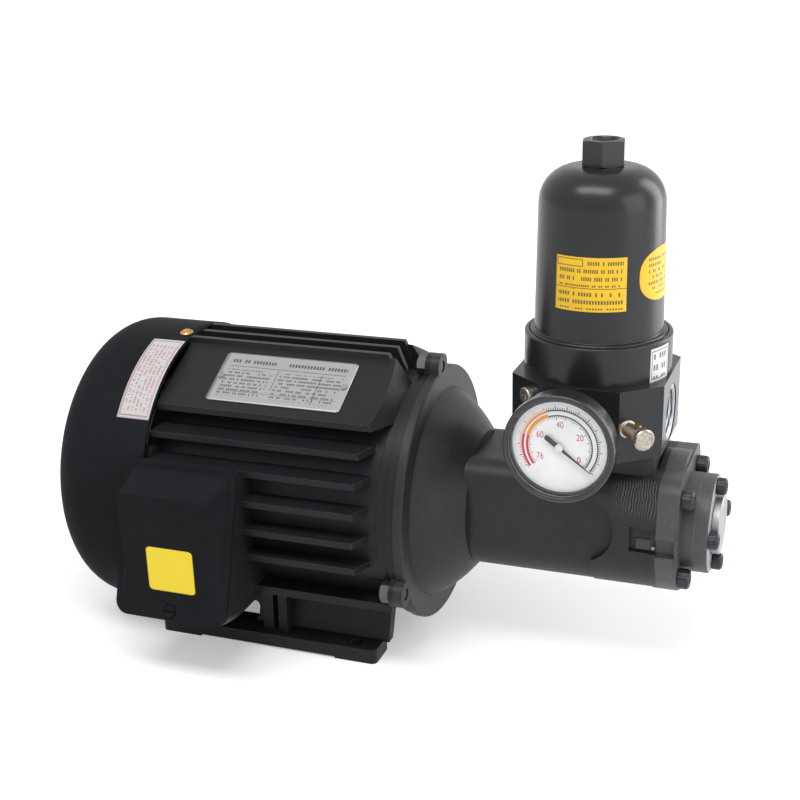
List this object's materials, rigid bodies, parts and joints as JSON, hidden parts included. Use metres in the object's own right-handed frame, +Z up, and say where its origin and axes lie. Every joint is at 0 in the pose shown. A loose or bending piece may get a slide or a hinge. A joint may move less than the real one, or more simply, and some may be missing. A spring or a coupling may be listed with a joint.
{
  "type": "motor-driven trochoid pump",
  "caption": "Foot-mounted electric motor driving a trochoid oil pump through an adapter neck, with a suction filter and vacuum gauge on top.",
  "frame": {"origin": "centre of the foot bolt pattern, on the plane the feet rest on", "axes": "+X along the shaft towards the pump, -Y towards the terminal box and gauge, +Z up"},
  "size_m": [0.3425, 0.181, 0.268],
  "materials": {
    "motor_casting": "satin black paint on casting",
    "sheet_black": "satin black painted sheet",
    "pump_casting": "satin black paint on cast iron",
    "filter_casting": "satin black painted aluminium",
    "zinc": "zinc plated",
    "black_steel": "black oxide steel",
    "brass": "bare brass",
    "electrical_steel": "stacked sheets",
    "copper": "enamelled copper, brass stands in for copper",
    "steel": "ground steel",
    "spring_steel": "spring steel",
    "aluminium": "bare aluminium",
    "fan_plastic": "moulded",
    "rubber": "oil-proof rubber",
    "block_plastic": "thermoset",
    "spider_plastic": "polyurethane",
    "plate": "bright plate",
    "sintered": "sintered steel",
    "mesh": "pleated wire mesh",
    "dial": "white dial",
    "glass": "clear",
    "nickel": "nickel plated",
    "pointer": "black"
  },
  "bodies": {
    "casing": {"motor_frame": "motor_casting", "rear_end_shield": "motor_casting", "shield_screws": "zinc", "fan_cowl": "sheet_black", "cowl_screws": "brass", "stator_core": "electrical_steel", "stator_windings": "copper", "bearing_outer_races": "steel", "wave_spring": "spring_steel", "terminal_box": "motor_casting", "terminal_gasket": "rubber", "terminal_cover": "sheet_black", "terminal_cover_screw": "black_steel", "terminal_block": "block_plastic", "terminal_studs": "brass", "nameplate": "plate", "nameplate_rivets": "zinc", "adapter_housing": "pump_casting", "recess_screw": "zinc", "adapter_bolts": "black_steel", "adapter_nuts": "zinc", "shaft_seal": "rubber", "shaft_bushes": "sintered", "seal_rings": "rubber", "pump_body": "pump_casting", "pump_cover": "pump_casting", "body_bolts": "black_steel", "cover_bolts": "black_steel", "filter_head": "filter_casting", "head_screws": "black_steel", "filter_bowl": "filter_casting", "bowl_plug": "black_steel", "filter_element": "mesh", "element_core": "zinc", "element_caps": "aluminium", "element_spring": "spring_steel", "gauge_case": "sheet_black", "gauge_socket": "brass", "gauge_movement": "brass", "gauge_dial": "dial", "gauge_window": "glass", "vent_body": "nickel", "vent_pin": "brass", "side_plug": "nickel"},
    "shaft": {"motor_shaft": "steel", "rotor_core": "electrical_steel", "cooling_fan": "fan_plastic", "fan_clip": "spring_steel", "shaft_keys": "steel", "bearing_inner_races": "steel", "bearing_balls": "steel", "motor_hub": "sintered", "coupling_spider": "spider_plastic", "pump_hub": "sintered", "pump_shaft": "steel", "inner_rotor": "sintered"},
    "outer_rotor": {"outer_rotor": "sintered"},
    "pointer": {"gauge_pointer": "pointer"},
    "vent_knob": {"vent_knob": "nickel"}
  },
  "joints": [
    {"name": "shaft_spin", "type": "hinge", "parent": "casing", "child": "shaft", "pos_m": [0, 0, 0.08], "axis": [1, 0, 0], "continuous": true},
    {"name": "outer_rotor_spin", "type": "hinge", "parent": "casing", "child": "outer_rotor", "pos_m": [0.2145, 0, 0.0814], "axis": [1, 0, 0], "continuous": true},
    {"name": "pointer_swing", "type": "hinge", "parent": "casing", "child": "pointer", "pos_m": [0.163, -0.0685, 0.14], "axis": [0, -1, 0], "range_deg": [0, 255]},
    {"name": "vent_turn", "type": "hinge", "parent": "casing", "child": "vent_knob", "pos_m": [0.187, -0.0356, 0.14], "axis": [0.6428, -0.766, 0], "range_deg": [0, 360]}
  ],
  "couplings": [
    {"joint": "outer_rotor_spin", "follows": "shaft_spin", "ratio": 0.85714}
  ]
}
